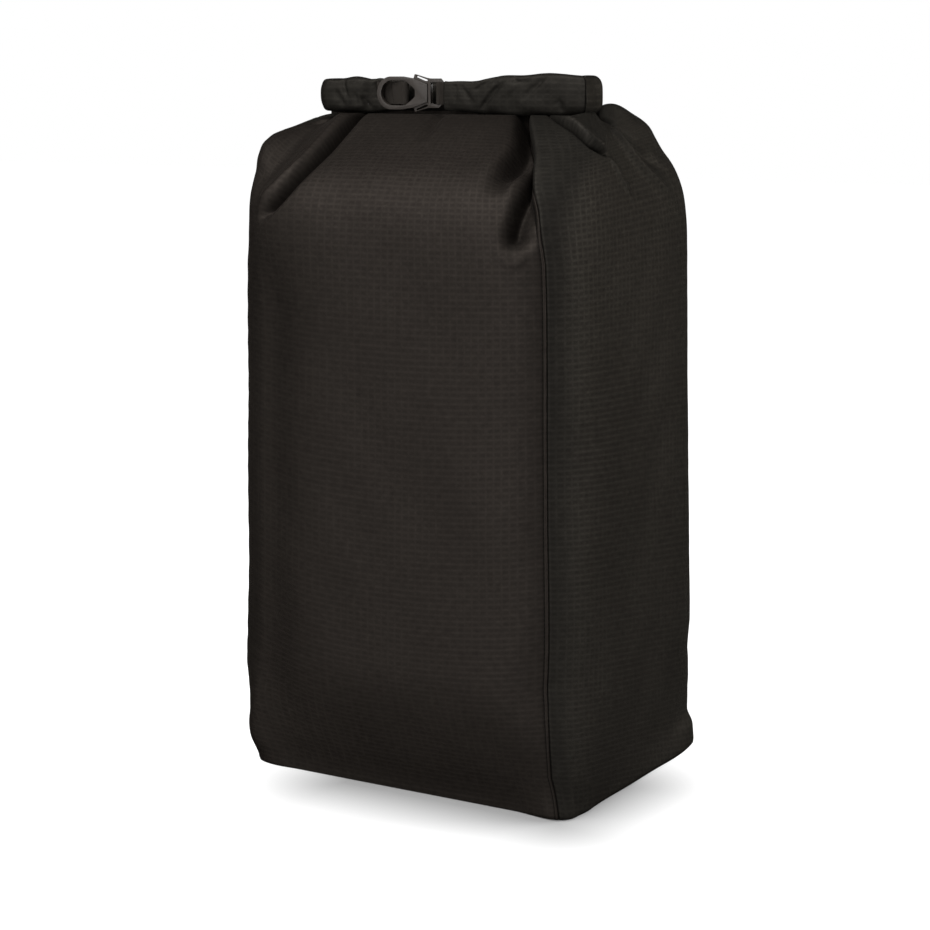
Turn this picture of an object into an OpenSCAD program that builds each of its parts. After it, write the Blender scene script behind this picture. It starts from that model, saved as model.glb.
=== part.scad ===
// Roll-top dry sack, stuffed full and standing on its floor panel.
// The mouth is wound into a roll, the roll's two ends are folded to the front, and a buckle joins them.
// Millimetres. +X is the sack's right, -Y its front, +Z up. The origin is the middle of the floor.

/* [Sack] */
// Width of the floor
floor_width = 300; // [260:1:330]
// Depth of the floor
floor_depth = 236; // [200:1:260]
// How far the floor sits towards the back
floor_shift = 4; // [0:1:8]
// Width at mid height, where the sides bulge
waist_width = 300; // [270:1:330]
// Depth at mid height, where the front and back bulge
waist_depth = 280; // [240:1:310]
// Height of the widest level
waist_level = 150; // [120:1:220]
// Share of the width and depth lost between the widest level and the shoulders
lean = 0.0206; // [0:0.001:0.04]
// Height where the shoulders start to close
shoulder_level = 350; // [320:1:390]
// Height where the cloth has closed to the neck
neck_level = 517; // [490:1:540]
// Width of the neck
neck_width = 248; // [220:1:256]
// Depth of the neck
neck_depth = 7.6; // [7:0.1:9]
// How far the neck sits towards the left
neck_left = 12; // [0:1:14]
// How much higher the back of the shoulders stands than the front, per millimetre of depth
shoulder_tilt = 0.15; // [0:0.01:0.18]
// Rounding of the lower edge
floor_round = 7; // [6:1:14]
// Thickness of the cloth stand-in
cloth = 1.6; // [1.2:0.1:2]

/* [Seam tape] */
// Thickness of the tape
tape = 0.6; // [0.4:0.1:0.8]
// Share of a panel's half width that one leg of the tape covers
tape_share = 0.08; // [0.06:0.01:0.12]
// Width of the floor tape
floor_tape_width = 12; // [8:1:20]

/* [Roll] */
// Height of the underside of the roll above the neck
roll_lift = 4; // [2:0.5:12]
// Height of the roll's section
roll_height = 27; // [25:0.5:32]
// Depth of the section of one run
roll_depth = 14.8; // [14.6:0.1:16]
// Gap between the back run and the front arms
run_gap = 0.6; // [0.4:0.1:1]
// Depth position of the back run
back_run_y = -6; // [-8:0.5:-4]
// Left end of the roll
roll_left = -130; // [-136:1:-120]
// Right end of the roll
roll_right = 110; // [104:1:130]
// Thickness of one wound layer
layer = 1.2; // [1:0.1:1.3]
// Distance from one wound layer to the next
pitch = 1.7; // [1.6:0.05:1.8]
// Number of turns
turns = 2; // [1:1:2]
// Thickness of the stiffener in the hem
stiffener = 1; // [0.6:0.1:1.2]

/* [Buckle] */
// Left end of the buckle
buckle_left = -71.4; // [-76:0.2:-66]
// Depth position of the middle of the buckle
buckle_y = -24.8; // [-26:0.1:-24.6]
// Height of the middle of the buckle above the middle of the roll
buckle_lift = 1; // [-0.5:0.5:2.5]
// Thickness of the socket
socket_thick = 4.6; // [4.4:0.1:5]
// Radius of the ring's round end
ring_radius = 12.7; // [12.5:0.1:13]
// Width of the ring's rim
rim = 3.1; // [2.8:0.1:3.3]
// Diameter of the bars that the tabs go round
bar = 3.4; // [3:0.1:3.6]
// Thickness of the prongs and the tongue
prong_thick = 2.2; // [2:0.1:2.3]
// Clearance on each side of the prongs and the tongue
prong_play = 0.2; // [0.1:0.05:0.25]
// Thickness of the plug's frame
plug_thick = 4; // [3.8:0.1:4.4]
// Diameter of the pin that each prong turns on
pin = 1.6; // [1.4:0.1:1.8]
// Clearance round the pin
pin_play = 0.08; // [0.05:0.01:0.1]

/* [Tabs] */
// Width of the webbing tabs
webbing = 16; // [14:0.5:16.4]
// Thickness of one layer of webbing
webbing_thick = 1.2; // [1:0.1:1.3]
// Clearance between the webbing and its bar
webbing_play = 0.1; // [0.05:0.05:0.2]

/* [Node shown] */
// Name of the node to draw, or all

/* [Hidden] */
$fn = 48;
eps = 0.01;

// Squareness of the sections at the floor, at mid height and at the neck
floor_square = 14;
waist_square = 5.3;
neck_square = 5;
// Heights over which the floor's size and squareness change to those of mid height
floor_blend = 110;
corner_blend = 110;
// Exponents of the shoulder's closing curves
width_hold = 8;
depth_hold = 5.2;

function clamp(t) = max(0, min(1, t));
function ease(t) = let(c = clamp(t)) c * c * (3 - 2 * c);
function mix(p, q, t) = p + (q - p) * t;

// Share of the way from the shoulder to the neck
function rise(z) = clamp((z - shoulder_level) / (neck_level - shoulder_level));
function closing(z, hold) = sqrt(max(0, 1 - pow(rise(z), hold)));
function narrowing(z) =
    1 - lean * (min(z, shoulder_level) - waist_level) / (shoulder_level - waist_level);
// Inset of the rounded lower edge
function tuck(z) = let(t = clamp(1 - z / floor_round)) floor_round * (1 - sqrt(1 - t * t));

function half_width(z) =
    let(low = mix(floor_width / 2, waist_width / 2 * narrowing(z), ease(z / floor_blend)))
    mix(neck_width / 2, low, closing(z, width_hold)) - tuck(z);
function half_depth(z) =
    let(low = mix(floor_depth / 2, waist_depth / 2 * narrowing(z), ease(z / floor_blend)))
    mix(neck_depth / 2, low, closing(z, depth_hold)) - tuck(z);
function squareness(z) =
    mix(mix(floor_square, waist_square, ease(z / corner_blend)), neck_square, pow(rise(z), 3));
function middle(z) =
    [-neck_left * pow(rise(z), 3),
     mix(floor_shift * (1 - ease(z / floor_blend)), back_run_y, pow(rise(z), 4))];

// Thickness of the floor panel, where the panels' lowest row stands
floor_base = 2;
// Rows of the panels, as shares of the rounded lower edge, of the wall and of the shoulder
edge_rows = [0, 0.4, 1];
wall_rows = [0.015, 0.05, 0.125, 0.23, 0.36, 0.53, 0.74, 0.91];
shoulder_rows = [0.03, 0.24, 0.42, 0.57, 0.69, 0.78, 0.85, 0.904, 0.946, 0.976, 0.994, 1];
levels = concat([for (t = edge_rows) mix(floor_base, floor_round, t)],
                [for (t = wall_rows) mix(floor_round, shoulder_level, t)],
                [for (t = shoulder_rows) mix(shoulder_level, neck_level, t)]);
last = len(levels);
// Underside of the roll, where the panels end
roll_bottom = neck_level + roll_lift;
// Columns across a panel
columns = [-1, -1 + tape_share, -0.82, -0.68, -0.45, -0.2, 0.2, 0.45, 0.68, 0.82, 1 - tape_share, 1];
across = len(columns);

// One point of a section: share runs from corner to corner of the panel on the given side,
// inset is the distance inside the outer face, and the last row is level for the roll to sit on.
function section_point(side, share, row, inset) =
    let(top = row == last,
        z = top ? neck_level : levels[row],
        n = squareness(z),
        corner = pow(2, -1 / n),
        along = corner * share,
        bulge = pow(1 - pow(abs(along), n), 1 / n),
        wide = half_width(z) - inset,
        deep = half_depth(z) - inset,
        flat = side == "front" ? [wide * along, -deep * bulge]
             : side == "back" ? [-wide * along, deep * bulge]
             : side == "right" ? [wide * bulge, deep * along]
             : [-wide * bulge, -deep * along],
        lift = shoulder_tilt * pow(rise(z), 2) * flat[1],
        sink = inset * pow(rise(z), 2))
    [flat[0] + middle(z)[0], flat[1] + middle(z)[1], top ? roll_bottom : z + lift - sink];

// A closed shell between two grids of points with the same rows and columns
function grid_faces(rows, cols) =
    let(far = rows * cols)
    concat(
        [for (i = [0 : rows - 2], j = [0 : cols - 2], k = [0, 1])
            let(p = i * cols + j)
            k == 0 ? [p, p + cols, p + cols + 1] : [p, p + cols + 1, p + 1]],
        [for (i = [0 : rows - 2], j = [0 : cols - 2], k = [0, 1])
            let(p = far + i * cols + j)
            k == 0 ? [p, p + cols + 1, p + cols] : [p, p + 1, p + cols + 1]],
        [for (i = [0 : rows - 2], end = [0, cols - 1], k = [0, 1])
            let(p = i * cols + end, q = p + cols,
                face = k == 0 ? [p, far + q, q] : [p, far + p, far + q])
            end == 0 ? face : [face[2], face[1], face[0]]],
        [for (j = [0 : cols - 2], end = [0, rows - 1], k = [0, 1])
            let(p = end * cols + j, q = p + 1,
                face = k == 0 ? [p, q, far + q] : [p, far + q, far + p])
            end == 0 ? face : [face[2], face[1], face[0]]]);

module panel(side) {
    near = [for (i = [0 : last], u = columns) section_point(side, u, i, 0)];
    inner = [for (i = [0 : last], u = columns) section_point(side, u, i, cloth)];
    polyhedron(concat(near, inner), grid_faces(last + 1, across), convexity = 6);
}

// Rows that the corner tapes cover
tape_first = 1;
tape_last = last - 4;

// A tape across the corner between one panel's last columns and the next panel's first columns
module corner_tape(side, next) {
    legs = [[side, 1 - tape_share], [side, 1], [next, -1 + tape_share]];
    near = [for (i = [tape_first : tape_last], leg = legs) section_point(leg[0], leg[1], i, cloth)];
    inner = [for (i = [tape_first : tape_last], leg = legs) section_point(leg[0], leg[1], i, cloth + tape)];
    polyhedron(concat(near, inner), grid_faces(tape_last - tape_first + 1, 3), convexity = 4);
}

// Outline of the lowest row, all round
function floor_outline(inset) =
    [for (side = ["front", "right", "back", "left"], j = [0 : across - 2])
        let(p = section_point(side, columns[j], 0, inset)) [p[0], p[1]]];

module front_panel() color([0.19, 0.18, 0.17]) panel("front");
module back_panel() color([0.19, 0.18, 0.17]) panel("back");
module left_panel() color([0.16, 0.16, 0.15]) panel("left");
module right_panel() color([0.16, 0.16, 0.15]) panel("right");

module floor_panel() color([0.14, 0.14, 0.13])
    linear_extrude(floor_base) polygon(floor_outline(0));

module front_left_tape() color([0.3, 0.3, 0.3]) corner_tape("left", "front");
module front_right_tape() color([0.3, 0.3, 0.3]) corner_tape("front", "right");
module back_left_tape() color([0.3, 0.3, 0.3]) corner_tape("back", "left");
module back_right_tape() color([0.3, 0.3, 0.3]) corner_tape("right", "back");

module floor_tape() color([0.3, 0.3, 0.3])
    translate([0, 0, floor_base])
        linear_extrude(tape) difference() {
            polygon(floor_outline(cloth));
            polygon(floor_outline(cloth + floor_tape_width));
        }

// The roll's section is a ribbon wound inwards. Its first two points lie level on the neck.
first_angle = -105;
step_angle = 30;
level_angle = first_angle + step_angle;
wind = 360 - step_angle;
roll_square = 4;
steps = turns * 360 / step_angle;
function ribbon_shrink(angle) = pitch * max(0, angle - level_angle) / wind;
function signed_pow(v, p) = sign(v) * pow(abs(v), p);
function ribbon(angle, inset) =
    let(s = ribbon_shrink(angle) + inset)
    [(roll_depth / 2 - s) * signed_pow(cos(angle), 2 / roll_square),
     (roll_height / 2 - s) * signed_pow(sin(angle), 2 / roll_square)];

ribbon_angles = [for (k = [0 : steps]) first_angle + k * step_angle];
ribbon_section = concat([for (a = ribbon_angles) ribbon(a, 0)],
                        [for (k = [steps : -1 : 0]) ribbon(ribbon_angles[k], layer)]);

// The stiffener lies against the inner face of the last layer, on the back of the core
stiffener_angles = [for (k = [-1.5 : 1 : 1.5]) 360 * (turns - 1) + k * step_angle];
stiffener_section = concat(
    [for (a = stiffener_angles) ribbon(a, layer)],
    [for (k = [3 : -1 : 0]) ribbon(stiffener_angles[k], layer) - [stiffener, 0]]);

// Stations of the roll: plan position, turn of the section and stretch across a mitred corner.
// They go from the left arm's end round the left turn, along the back and round the right turn.
front_run_y = back_run_y - roll_depth - run_gap;
roll_middle = roll_bottom + roll_height / 2;
buckle_level = roll_middle + buckle_lift;
turn_radius = (roll_depth + run_gap) / 2;
left_turn_x = roll_left + turn_radius + roll_depth / 2;
right_turn_x = roll_right - roll_depth / 2;
left_turn_steps = 8;
// Travel of the plug when it comes out, and the gap it leaves to the arms
release_travel = 17;
arm_gap = 6.7;
// End of the plug, from the buckle's left end
plug_end = 58.3;
left_arm_end = buckle_left - arm_gap;
right_arm_end = buckle_left + plug_end + release_travel + arm_gap;
mitre = sqrt(2);
stations = concat(
    [[left_arm_end, front_run_y, 180, 1], [mix(left_arm_end, left_turn_x, 0.5), front_run_y, 180, 1]],
    [for (k = [0 : left_turn_steps])
        let(t = 180 - 180 * k / left_turn_steps)
        [left_turn_x - turn_radius * sin(t), (front_run_y + back_run_y) / 2 + turn_radius * cos(t), t, 1]],
    [[0, back_run_y, 0, 1], [right_turn_x, back_run_y, -45, mitre],
     [right_turn_x, front_run_y, -135, mitre],
     [mix(right_arm_end, right_turn_x, 0.5), front_run_y, -180, 1],
     [right_arm_end, front_run_y, -180, 1]]);

// A section swept along the stations, its first coordinate across the run and its second upwards
module sweep(section, caps) {
    n = len(section);
    points = [for (s = stations, p = section)
        [s[0] - p[0] * s[3] * sin(s[2]), s[1] + p[0] * s[3] * cos(s[2]), roll_middle + p[1]]];
    ends = (len(stations) - 1) * n;
    walls = [for (i = [0 : len(stations) - 2], j = [0 : n - 1], k = [0, 1])
        let(p = i * n + j, q = i * n + (j + 1) % n)
        k == 0 ? [p, q, q + n] : [p, q + n, p + n]];
    start = [for (f = caps) [f[2], f[1], f[0]]];
    finish = [for (f = caps) [ends + f[0], ends + f[1], ends + f[2]]];
    polyhedron(points, concat(walls, start, finish), convexity = 10);
}

// Triangles that close a ribbon whose two long sides have the same number of points
function ribbon_caps(count) =
    [for (j = [0 : count - 2], k = [0, 1])
        k == 0 ? [j, j + 1, 2 * count - 2 - j] : [j, 2 * count - 2 - j, 2 * count - 1 - j]];

module rolled_collar() color([0.2, 0.19, 0.18]) sweep(ribbon_section, ribbon_caps(steps + 1));
module hem_stiffener() color([0.1, 0.1, 0.1]) sweep(stiffener_section, ribbon_caps(4));

// The buckle is drawn in its own plane, from its left end and its middle line
bar_x = 24.6;
opening_straight = 25.5;
ring_straight = 22;
shoulder_x = 33;
shoulder_half = 11.1;
mouth_x = 45.8;
mouth_half = 6.7;
ring_inner = ring_radius - rim;
pocket_x = 29.3;
lip_x = 32.4;
web_x = 36.6;
pin_x = 48.8;
pin_z = 9.3;
knuckle = 1.7;
frame_x = 46.4;
frame_half = 11.2;
frame_corner = 2.2;
beam_half = 6.6;
beam_x = 48.6;
slot_half = 8.5;
rear_bar_x = 56;
tongue_x = 37.6;
tongue_half = 2.6;
clevis_x = 51;

module at_buckle() translate([buckle_left, buckle_y, buckle_level]) children();
module flat(thick) rotate([90, 0, 0]) linear_extrude(thick, center = true) children();

// Points of an arc between two angles
arc_steps = 12;
function arc_points(centre, radius, from, to) =
    [for (k = [0 : arc_steps])
        let(t = mix(from, to, k / arc_steps)) centre + radius * [cos(t), sin(t)]];

module both_halves() {
    children();
    mirror([0, 1]) children();
}

module socket_outline() {
    translate([ring_radius, 0]) circle(ring_radius);
    both_halves()
        polygon([[ring_radius, 0], [ring_radius, ring_radius], [ring_straight, ring_radius],
                 [shoulder_x, shoulder_half], [mouth_x, mouth_half], [mouth_x, 0]]);
}

module socket_opening() {
    translate([ring_inner + rim + 0.6, 0]) circle(ring_inner);
    both_halves()
        polygon([[ring_radius, -eps], [ring_radius + 0.6, ring_inner], [opening_straight, ring_inner],
                 [31.8, 5.2], [34.6, 2.6], [34.6, -eps]]);
}

// The space between the socket's two skins, with a pocket for the nose of each prong
module socket_cavity() {
    both_halves()
        polygon([[web_x, -eps], [web_x, 5.5], [33.5, 7], [pocket_x, 8.1], [pocket_x, 11.1],
                 [lip_x, 10.62], [lip_x, 20], [60, 20], [60, -eps]]);
}

module buckle_socket() color([0.3, 0.28, 0.27]) at_buckle() {
    difference() {
        flat(socket_thick) difference() {
            socket_outline();
            socket_opening();
        }
        flat(prong_thick + 2 * prong_play) socket_cavity();
    }
    translate([bar_x, 0, 0]) cylinder(h = 2 * ring_inner + 1, d = bar, center = true);
}

module plug_outline() {
    both_halves()
        polygon([[frame_x, -eps], [frame_x, frame_half - frame_corner], [frame_x + frame_corner, frame_half],
                 [plug_end - frame_corner, frame_half], [plug_end, frame_half - frame_corner],
                 [plug_end, slot_half], [beam_x, slot_half], [beam_x, -eps]]);
}

module buckle_plug() color([0.24, 0.22, 0.21]) at_buckle() {
    difference() {
        flat(plug_thick) plug_outline();
        for (half = [0, 1])
            mirror([0, 0, half])
                translate([frame_x - 1, -prong_thick / 2 - prong_play, beam_half])
                    cube([clevis_x - frame_x + 1, prong_thick + 2 * prong_play, frame_half]);
    }
    for (side = [-1, 1])
        translate([pin_x, 0, side * pin_z])
            rotate([90, 0, 0]) cylinder(h = plug_thick - eps, d = pin, center = true);
    translate([rear_bar_x, 0, 0]) cylinder(h = 2 * slot_half + 1, d = bar, center = true);
    flat(prong_thick)
        polygon([[tongue_x, -tongue_half], [tongue_x, tongue_half], [beam_x, tongue_half + 1],
                 [beam_x, -tongue_half - 1]]);
}

// One prong: a skeleton arm with a nose that the socket's lip holds
module prong() {
    flat(prong_thick) difference() {
        polygon(concat([[33.8, 14.5], [43.7, 11.8], [46.7, 11.3]],
                       arc_points([pin_x, pin_z], knuckle, 90, -90),
                       [[46.5, 7.2], [44, 6.4], [35, 9.5], [33, 8.9], [32.2, 8.5], [30.2, 8.5], [29.8, 9],
                        [30, 10.85], [31.8, 10.45], [32.75, 10.6], [32.75, 11.5]]));
        polygon([[35.6, 13.4], [35, 12.2], [44, 8.8], [45.6, 9.2], [45.2, 10.3]]);
        translate([pin_x, pin_z]) circle(d = pin + 2 * pin_play);
    }
}

module upper_prong() color([0.24, 0.22, 0.21]) at_buckle() prong();
module lower_prong() color([0.24, 0.22, 0.21]) at_buckle() mirror([0, 0, 1]) prong();

// A tab is a band of webbing that goes round a bar and comes back on itself, drawn in plan from the bar's
// middle. It leaves the bar to the left or right, and has shifted back by the time it is past its bend.
webbing_gap = 0.2;
function tab_outline(way, bend, reach, shift) =
    let(bore = bar / 2 + webbing_play,
        near = webbing_gap / 2,
        far = near + webbing_thick,
        skew = atan(shift / bend),
        points = concat([[-reach, shift + far], [-bend, shift + far]],
                        arc_points([0, 0], bore + webbing_thick, 90 - skew, -90 - skew),
                        [[-bend, shift - far], [-reach, shift - far], [-reach, shift - near], [-bend, shift - near]],
                        arc_points([0, 0], bore, -90 - skew, 90 - skew),
                        [[-bend, shift + near], [-reach, shift + near]]))
    [for (p = points) [-way * p[0], p[1]]];

left_bend = 15.5;
left_reach = 60;
left_shift = 3.7;
right_bend = 8.5;
right_reach = 48;
right_shift = 3.4;

module left_tab() color([0.17, 0.16, 0.15])
    at_buckle() translate([bar_x, 0, 0])
        linear_extrude(webbing, center = true) polygon(tab_outline(-1, left_bend, left_reach, left_shift));

module right_tab() color([0.17, 0.16, 0.15])
    at_buckle() translate([rear_bar_x, 0, 0])
        linear_extrude(webbing, center = true) polygon(tab_outline(1, right_bend, right_reach, right_shift));

front_panel();
back_panel();
left_panel();
right_panel();
floor_panel();
front_left_tape();
front_right_tape();
back_left_tape();
back_right_tape();
floor_tape();
rolled_collar();
hem_stiffener();
left_tab();
right_tab();
buckle_socket();
buckle_plug();
upper_prong();
lower_prong();
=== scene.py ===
import math

import bmesh
import bpy
import numpy as np
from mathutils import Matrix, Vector


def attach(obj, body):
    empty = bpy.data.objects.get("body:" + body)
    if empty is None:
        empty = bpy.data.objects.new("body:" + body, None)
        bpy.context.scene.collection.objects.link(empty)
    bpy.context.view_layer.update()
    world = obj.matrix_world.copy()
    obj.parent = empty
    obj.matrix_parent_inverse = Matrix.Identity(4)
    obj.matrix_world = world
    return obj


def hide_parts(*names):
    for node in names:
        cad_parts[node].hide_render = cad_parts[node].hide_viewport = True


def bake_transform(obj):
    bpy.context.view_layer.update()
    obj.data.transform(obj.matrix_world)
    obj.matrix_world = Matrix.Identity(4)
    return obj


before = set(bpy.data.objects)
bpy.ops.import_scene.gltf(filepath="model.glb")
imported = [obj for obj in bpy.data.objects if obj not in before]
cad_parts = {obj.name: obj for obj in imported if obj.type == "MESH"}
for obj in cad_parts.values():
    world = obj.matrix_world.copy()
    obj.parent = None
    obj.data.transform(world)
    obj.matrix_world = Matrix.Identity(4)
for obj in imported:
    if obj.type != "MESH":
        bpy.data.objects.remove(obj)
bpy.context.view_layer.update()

MM = 0.001

# ---------------------------------------------------------------- camera and lamps

AZIMUTH, ELEVATION, DISTANCE = math.radians(29.75), math.radians(10.49), 1.694
FOCAL_LENGTH, FILM_WIDTH = 81.48, 36
# The camera's aim, aside from the middle of the sack and above the floor
AIM_ASIDE, AIM_LEVEL = -0.00635, 0.2407
AIM = Vector((AIM_ASIDE * math.cos(AZIMUTH), AIM_ASIDE * math.sin(AZIMUTH), AIM_LEVEL))
# Square softboxes round the sack: azimuth, elevation, size and watts
SOFTBOXES = {"key": (-20, 54, 1.6, 47), "right": (127, 13, 1.3, 50), "fill": (0, 4, 1.2, 18)}
SOFTBOX_DISTANCE, OVERHEAD_WATTS = 2.2, 9


def put_in_scene(name, data):
    """An object with that data, in the scene."""
    made = bpy.data.objects.new(name, data)
    bpy.context.scene.collection.objects.link(made)
    return made


def looking(from_azimuth, from_elevation):
    """Direction from the object to someone who looks at it."""
    return Vector((math.sin(from_azimuth) * math.cos(from_elevation),
                   -math.cos(from_azimuth) * math.cos(from_elevation),
                   math.sin(from_elevation)))


def place_camera():
    lens = bpy.data.cameras.new("camera")
    lens.lens, lens.sensor_width, lens.sensor_fit = FOCAL_LENGTH, FILM_WIDTH, "HORIZONTAL"
    lens.clip_start, lens.clip_end = 0.05, 40
    camera = put_in_scene("camera", lens)
    back = looking(AZIMUTH, ELEVATION)
    camera.location = AIM + back * DISTANCE
    camera.rotation_euler = (-back).to_track_quat("-Z", "Y").to_euler()
    bpy.context.scene.camera = camera


def place_softbox(name, place, target, size, watts):
    lamp = bpy.data.lights.new(name, "AREA")
    lamp.shape, lamp.size, lamp.size_y, lamp.energy = "RECTANGLE", size[0], size[1], watts
    box = put_in_scene(name, lamp)
    box.location = place
    box.rotation_euler = (Vector(target) - Vector(place)).to_track_quat("-Z", "Y").to_euler()


# ---------------------------------------------------------------- node trees


class Wire:
    """A value socket of a node tree, used in sums as a number is."""

    def __init__(self, tree, socket):
        self.tree, self.socket = tree, socket

    def sum(self, operation, *terms):
        made = self.tree.nodes.new("ShaderNodeMath")
        made.operation = operation
        for place, value in enumerate(terms):
            if isinstance(value, Wire):
                self.tree.links.new(value.socket, made.inputs[place])
            else:
                made.inputs[place].default_value = value
        return Wire(self.tree, made.outputs[0])

    def __add__(self, other): return self.sum("ADD", self, other)
    def __radd__(self, other): return self.sum("ADD", other, self)
    def __sub__(self, other): return self.sum("SUBTRACT", self, other)
    def __rsub__(self, other): return self.sum("SUBTRACT", other, self)
    def __mul__(self, other): return self.sum("MULTIPLY", self, other)
    def __rmul__(self, other): return self.sum("MULTIPLY", other, self)
    def __truediv__(self, other): return self.sum("DIVIDE", self, other)
    def __rtruediv__(self, other): return self.sum("DIVIDE", other, self)
    def __pow__(self, other): return self.sum("POWER", self, other)

    def part(self): return self.sum("FRACT", self)
    def size(self): return self.sum("ABSOLUTE", self)
    def sine(self): return self.sum("SINE", self)
    def most(self, other): return self.sum("MAXIMUM", self, other)
    def least(self, other): return self.sum("MINIMUM", self, other)

    def step(self, low, high):
        """0 below low, 1 above high, smooth between them."""
        made = self.tree.nodes.new("ShaderNodeMapRange")
        made.interpolation_type = "SMOOTHSTEP"
        self.tree.links.new(self.socket, made.inputs["Value"])
        made.inputs["From Min"].default_value = low
        made.inputs["From Max"].default_value = high
        return Wire(self.tree, made.outputs["Result"])


class Tree:
    """A node tree, built node by node."""

    def __init__(self, tree, family=""):
        self.tree, self.family = tree, family
        tree.nodes.clear()

    def node(self, kind, settings=None, **sockets):
        """A node of that type: its settings first, then the values or links of its sockets.
        A socket goes by its name, or by _ and its number."""
        made = self.tree.nodes.new(self.family + kind)
        for name, value in (settings or {}).items():
            setattr(made, name, value)
        for name, value in sockets.items():
            key = int(name[1:]) if name[0] == "_" else name.replace("_", " ")
            self.give(made.inputs[key], value)
        return made

    def out(self, kind, settings=None, **sockets):
        """The first output of such a node."""
        return self.node(kind, settings, **sockets).outputs[0]

    def give(self, socket, value):
        if isinstance(value, Wire):
            self.tree.links.new(value.socket, socket)
        elif isinstance(value, bpy.types.NodeSocket):
            self.tree.links.new(value, socket)
        else:
            socket.default_value = value

    def wire(self, node, output=0):
        return Wire(self.tree, node.outputs[output])


class Finish(Tree):
    """A material, or the light all round."""

    def __init__(self, owner):
        owner.use_nodes = True
        super().__init__(owner.node_tree, "ShaderNode")
        self.owner = owner

    def seen(self):
        """1 for what the eye or a clear piece sees, less for a gloss, 0 for what light falls on."""
        path = self.node("LightPath")
        eye, clear = self.wire(path, "Is Camera Ray"), self.wire(path, "Is Transmission Ray")
        return eye.most(self.wire(path, "Is Glossy Ray") * GLOSS_VIEW).most(clear)

    def cloth_map(self):
        """The piece's own map, in metres along the cloth, and its two directions."""
        flat = self.out("UVMap", {"uv_map": "cloth"})
        place = self.node("SeparateXYZ", Vector=flat)
        return flat, self.wire(place, 0), self.wire(place, 1)

    def mix(self, share, first, second):
        """A colour between two colours."""
        made = self.node("Mix", {"data_type": "RGBA"})
        self.give(made.inputs[0], share)
        self.give(made.inputs[6], first)
        self.give(made.inputs[7], second)
        return made.outputs[2]

    def noise(self, vector, scale, detail=2.0, roughness=0.5):
        made = self.node("TexNoise", Vector=vector, Scale=scale, Detail=detail, Roughness=roughness)
        return self.wire(made)

    def bump(self, height, distance, strength):
        return self.out("Bump", Height=height, Distance=distance, Strength=strength)

    def surface(self, **sockets):
        self.node("OutputMaterial", Surface=self.out("BsdfPrincipled", **sockets))
        return self.owner


def new_finish(name):
    return Finish(bpy.data.materials.new(name))


def grey(level, red=1.0, blue=1.0):
    """A grey of that lightness, with more or less red and blue in it."""
    return (level * red, level, level * blue, 1)


# ---------------------------------------------------------------- finishes

# Size of one square of the ripstop, and the pitch of the plain weave between its thick threads
SQUARE_WIDE, SQUARE_TALL, WEAVE = 6.3 * MM, 4.3 * MM, 0.42 * MM
# Where a thick thread starts and where it is full, as shares of a square from its middle
UPRIGHT_THREAD, LEVEL_THREAD = (0.24, 0.47), (0.1, 0.47)
# The painted shade along a seam's groove, and the fainter needle line of the stitched band, are dark
# up to the first distance and gone at the second
SEAM_SHADE_AND_NEEDLE_LINE = (0.2 * MM, 0.7 * MM)
# Distance of the stitched band on cloth that has none, past the end of any piece
NO_BAND = 9
# The coating's satin, without the glare of a grazing view
SATIN, SATIN_EDGE, CLOTH_SHINE = 0.6, (0.05, 0.05, 0.05, 1), 0.0
# Pitch of the webbing's ribs and of the thread's plies
RIB, PLY = 0.9 * MM, 0.5 * MM
PLASTIC_SHINE = 0.28


def ripstop(name, level, red, threads, band=NO_BAND):
    """Coated nylon with a grid of thicker threads. A dark line of painted shade goes along the groove
    of its seams, and a fainter needle line of thread at the distance of the stitched band."""
    f = new_finish(name)
    flat, across, up = f.cloth_map()
    slub, patches = f.noise(flat, 210, 3), f.noise(flat, 12, 3)
    crinkle = f.noise(flat, 170, 4, 0.62)
    # the upright threads show in patches, and more near the mouth
    showing = (patches * 2.4 - 0.5 + up.step(0.34, 0.46) * 0.35).least(1.0).most(0.35)
    columns = ((across / SQUARE_WIDE).part() - 0.5).size().step(*UPRIGHT_THREAD) * showing
    rows = ((up / SQUARE_TALL).part() - 0.5).size().step(*LEVEL_THREAD)
    grid = columns.most(rows) * (slub * 1.7)
    weave = (across * (math.tau / WEAVE)).sine() * (up * (math.tau / WEAVE)).sine()
    height = grid * 0.5 + weave * 0.12 + crinkle
    tone = (grid - 0.4) * threads + (patches - 0.5) * 0.3 + (crinkle - 0.5) * 0.7 + 0.35
    cloth = f.mix(tone, grey(level * 0.72, red, 0.88), grey(level * 1.75, red, 0.86))
    # the four corner seams, the back's far edge, and the start of the roll's map
    to_seam = ((across.size() - RING / 4 * MM).size() - SIDE_HALF * MM).size()
    for edge in (RING - BACK_CORNER, ROLL_MAP):
        to_seam = to_seam.least((across - edge * MM).size())
    # the dark line on the seams is painted shade of their groove; the fainter one on the band is the
    # thread's needle line
    on_band = 0.35 + 0.65 * (to_seam - band).size().step(*SEAM_SHADE_AND_NEEDLE_LINE)
    line = 1 - to_seam.step(*SEAM_SHADE_AND_NEEDLE_LINE).least(on_band)
    colour = f.mix(line, cloth, grey(level * 0.4, red, 0.88))
    return f.surface(Base_Color=colour, Roughness=0.55 - grid * 0.06 + patches * 0.08,
                     Normal=f.bump(height, 0.14 * MM, 0.9), Metallic=SATIN,
                     Specular_Tint=SATIN_EDGE, Specular_IOR_Level=CLOTH_SHINE)


def webbing_cloth(name, level):
    """Narrow woven band."""
    f = new_finish(name)
    flat, along, across = f.cloth_map()
    first, second = ((way / RIB).part().step(0.1, 0.6) for way in (along + across, along - across))
    rib = first * second
    worn = f.noise(flat, 120, 3)
    dark, light = grey(level * 0.6, 1.13, 0.88), grey(level * 1.4, 1.15, 0.87)
    colour = f.mix(rib * 0.6 + worn * 0.5, dark, light)
    return f.surface(Base_Color=colour, Roughness=0.75 - rib * 0.1,
                     Normal=f.bump(rib + worn * 0.6, 0.2 * MM, 0.8), Specular_IOR_Level=CLOTH_SHINE)


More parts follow.
